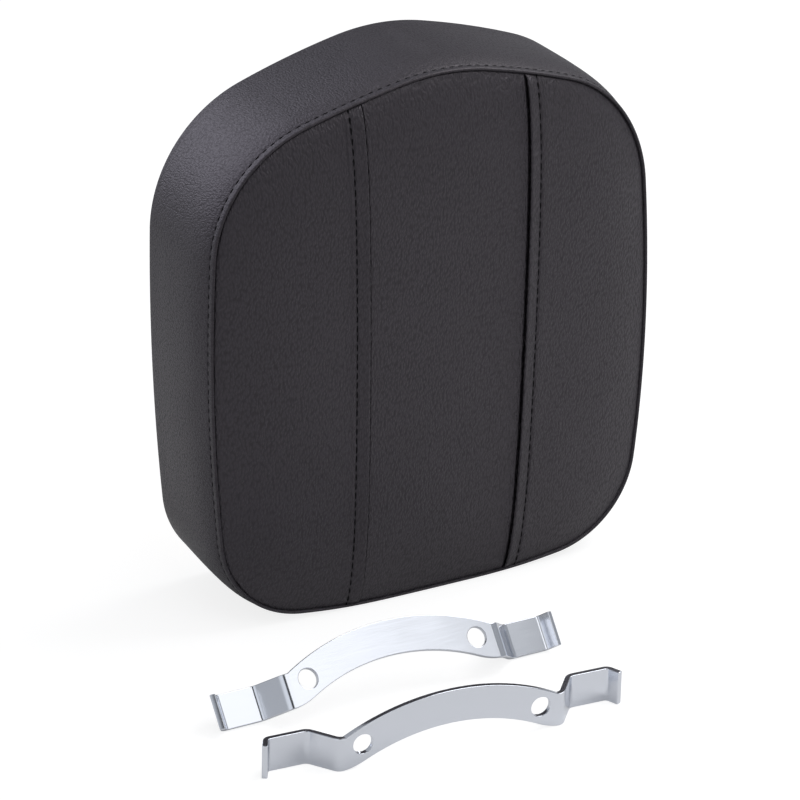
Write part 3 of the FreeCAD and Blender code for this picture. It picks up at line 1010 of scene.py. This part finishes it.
def studio_world():
    """White page to the eye, an even fill at a plain level, and the studio walls in reflections."""
    world = bpy.data.worlds.new("studio")
    bpy.context.scene.world = world
    world.use_nodes = True
    tree = world.node_tree
    tree.nodes.clear()
    rays = add(tree, "ShaderNodeLightPath")
    way = add(tree, "ShaderNodeSeparateXYZ", {0: add(tree, "ShaderNodeTexCoord").outputs["Generated"]})
    bearing = add(tree, "ShaderNodeMath", {0: way.outputs["X"], 1: way.outputs["Y"]}, operation="ARCTAN2")
    turn = add(tree, "ShaderNodeMapRange",
               {"Value": bearing.outputs[0], "From Min": -math.pi, "From Max": math.pi})
    walls = add(tree, "ShaderNodeValToRGB", {0: turn.outputs[0]})
    # The ramp starts with two stops of its own, which go
    stops = walls.color_ramp.elements
    stops.remove(stops[0])
    for degrees, grey in wall_lights:
        stop = stops.new((degrees + 180) / 360)
        stop.color = (grey, grey, grey, 1.0)
    stops.remove(stops[-1])
    page = add(tree, "ShaderNodeBackground", {"Color": colour("#ffffff"), "Strength": 1.0})
    fill = add(tree, "ShaderNodeBackground", {"Color": colour("#f4f6fa"), "Strength": fill_light})
    mirrored = add(tree, "ShaderNodeBackground", {"Color": colour("#eef2f8"), "Strength": walls.outputs[0]})
    direct = add(tree, "ShaderNodeMath",
                 {0: rays.outputs["Is Camera Ray"], 1: rays.outputs["Is Transmission Ray"]},
                 operation="MAXIMUM")
    around_us = add(tree, "ShaderNodeMixShader",
                    {0: rays.outputs["Is Glossy Ray"], 1: fill.outputs[0], 2: mirrored.outputs[0]})
    both = add(tree, "ShaderNodeMixShader",
               {0: direct.outputs[0], 1: around_us.outputs[0], 2: page.outputs[0]})
    add(tree, "ShaderNodeOutputWorld", {"Surface": both.outputs[0]})


def soft_box(name, place, size, power, tint="#ffffff", only=()):
    """Square soft box that looks at the middle of the pad and lights every piece, or only those named."""
    data = bpy.data.lights.new(name, "AREA")
    data.shape = "SQUARE"
    data.size = size
    data.energy = power
    data.color = colour(tint)[:3]
    lamp = linked(name, data)
    lamp.location = place
    lamp.rotation_mode = "QUATERNION"
    look_at = Vector((0.0, 0.0, mid_high * mm))
    lamp.rotation_quaternion = (look_at - Vector(place)).to_track_quat("-Z", "Y")
    if only:
        lit = bpy.data.collections.new(name + "_lights")
        for piece in only:
            lit.objects.link(piece)
        lamp.light_linking.receiver_collection = lit


photo_floor()
studio_world()
soft_box("front_box", place=(0.23, -1.765, 1.6), size=1.8, power=10.1)
soft_box("right_box", place=(0.7, -0.04, 1.1), size=1.0, power=9.0)
soft_box("left_back_box", place=(-1.1, 1.32, 1.3), size=2.2, power=32.0, tint="#f2f3ff",
         only=(centre, right, left, boxing))

# Camera at the photograph's place: yaw to the right, pitch down and a small roll, in degrees
camera_place = (-1.1775, -2.04075, 1.2017)
camera_yaw = 29.93
camera_pitch = 25.06
camera_roll = 1.36
lens_long = 213.9

yaw, pitch, roll = [math.radians(a) for a in (camera_yaw, camera_pitch, camera_roll)]
look = Vector((math.sin(yaw) * math.cos(pitch), math.cos(yaw) * math.cos(pitch), -math.sin(pitch)))
level_right = Vector((math.cos(yaw), -math.sin(yaw), 0.0))
level_up = level_right.cross(look)
side_axis = level_right * math.cos(roll) + level_up * math.sin(roll)
up_axis = level_up * math.cos(roll) - level_right * math.sin(roll)
lens = bpy.data.cameras.new("camera")
lens.lens = lens_long
lens.sensor_width = 36.0
lens.sensor_fit = "HORIZONTAL"
lens.clip_start = 0.05
lens.clip_end = 50.0
camera = linked("camera", lens)
camera_axes = Matrix((side_axis, up_axis, -look)).transposed().to_4x4()
camera.matrix_world = Matrix.Translation(camera_place) @ camera_axes
bpy.context.scene.camera = camera
bpy.context.scene.view_settings.view_transform = "Standard"
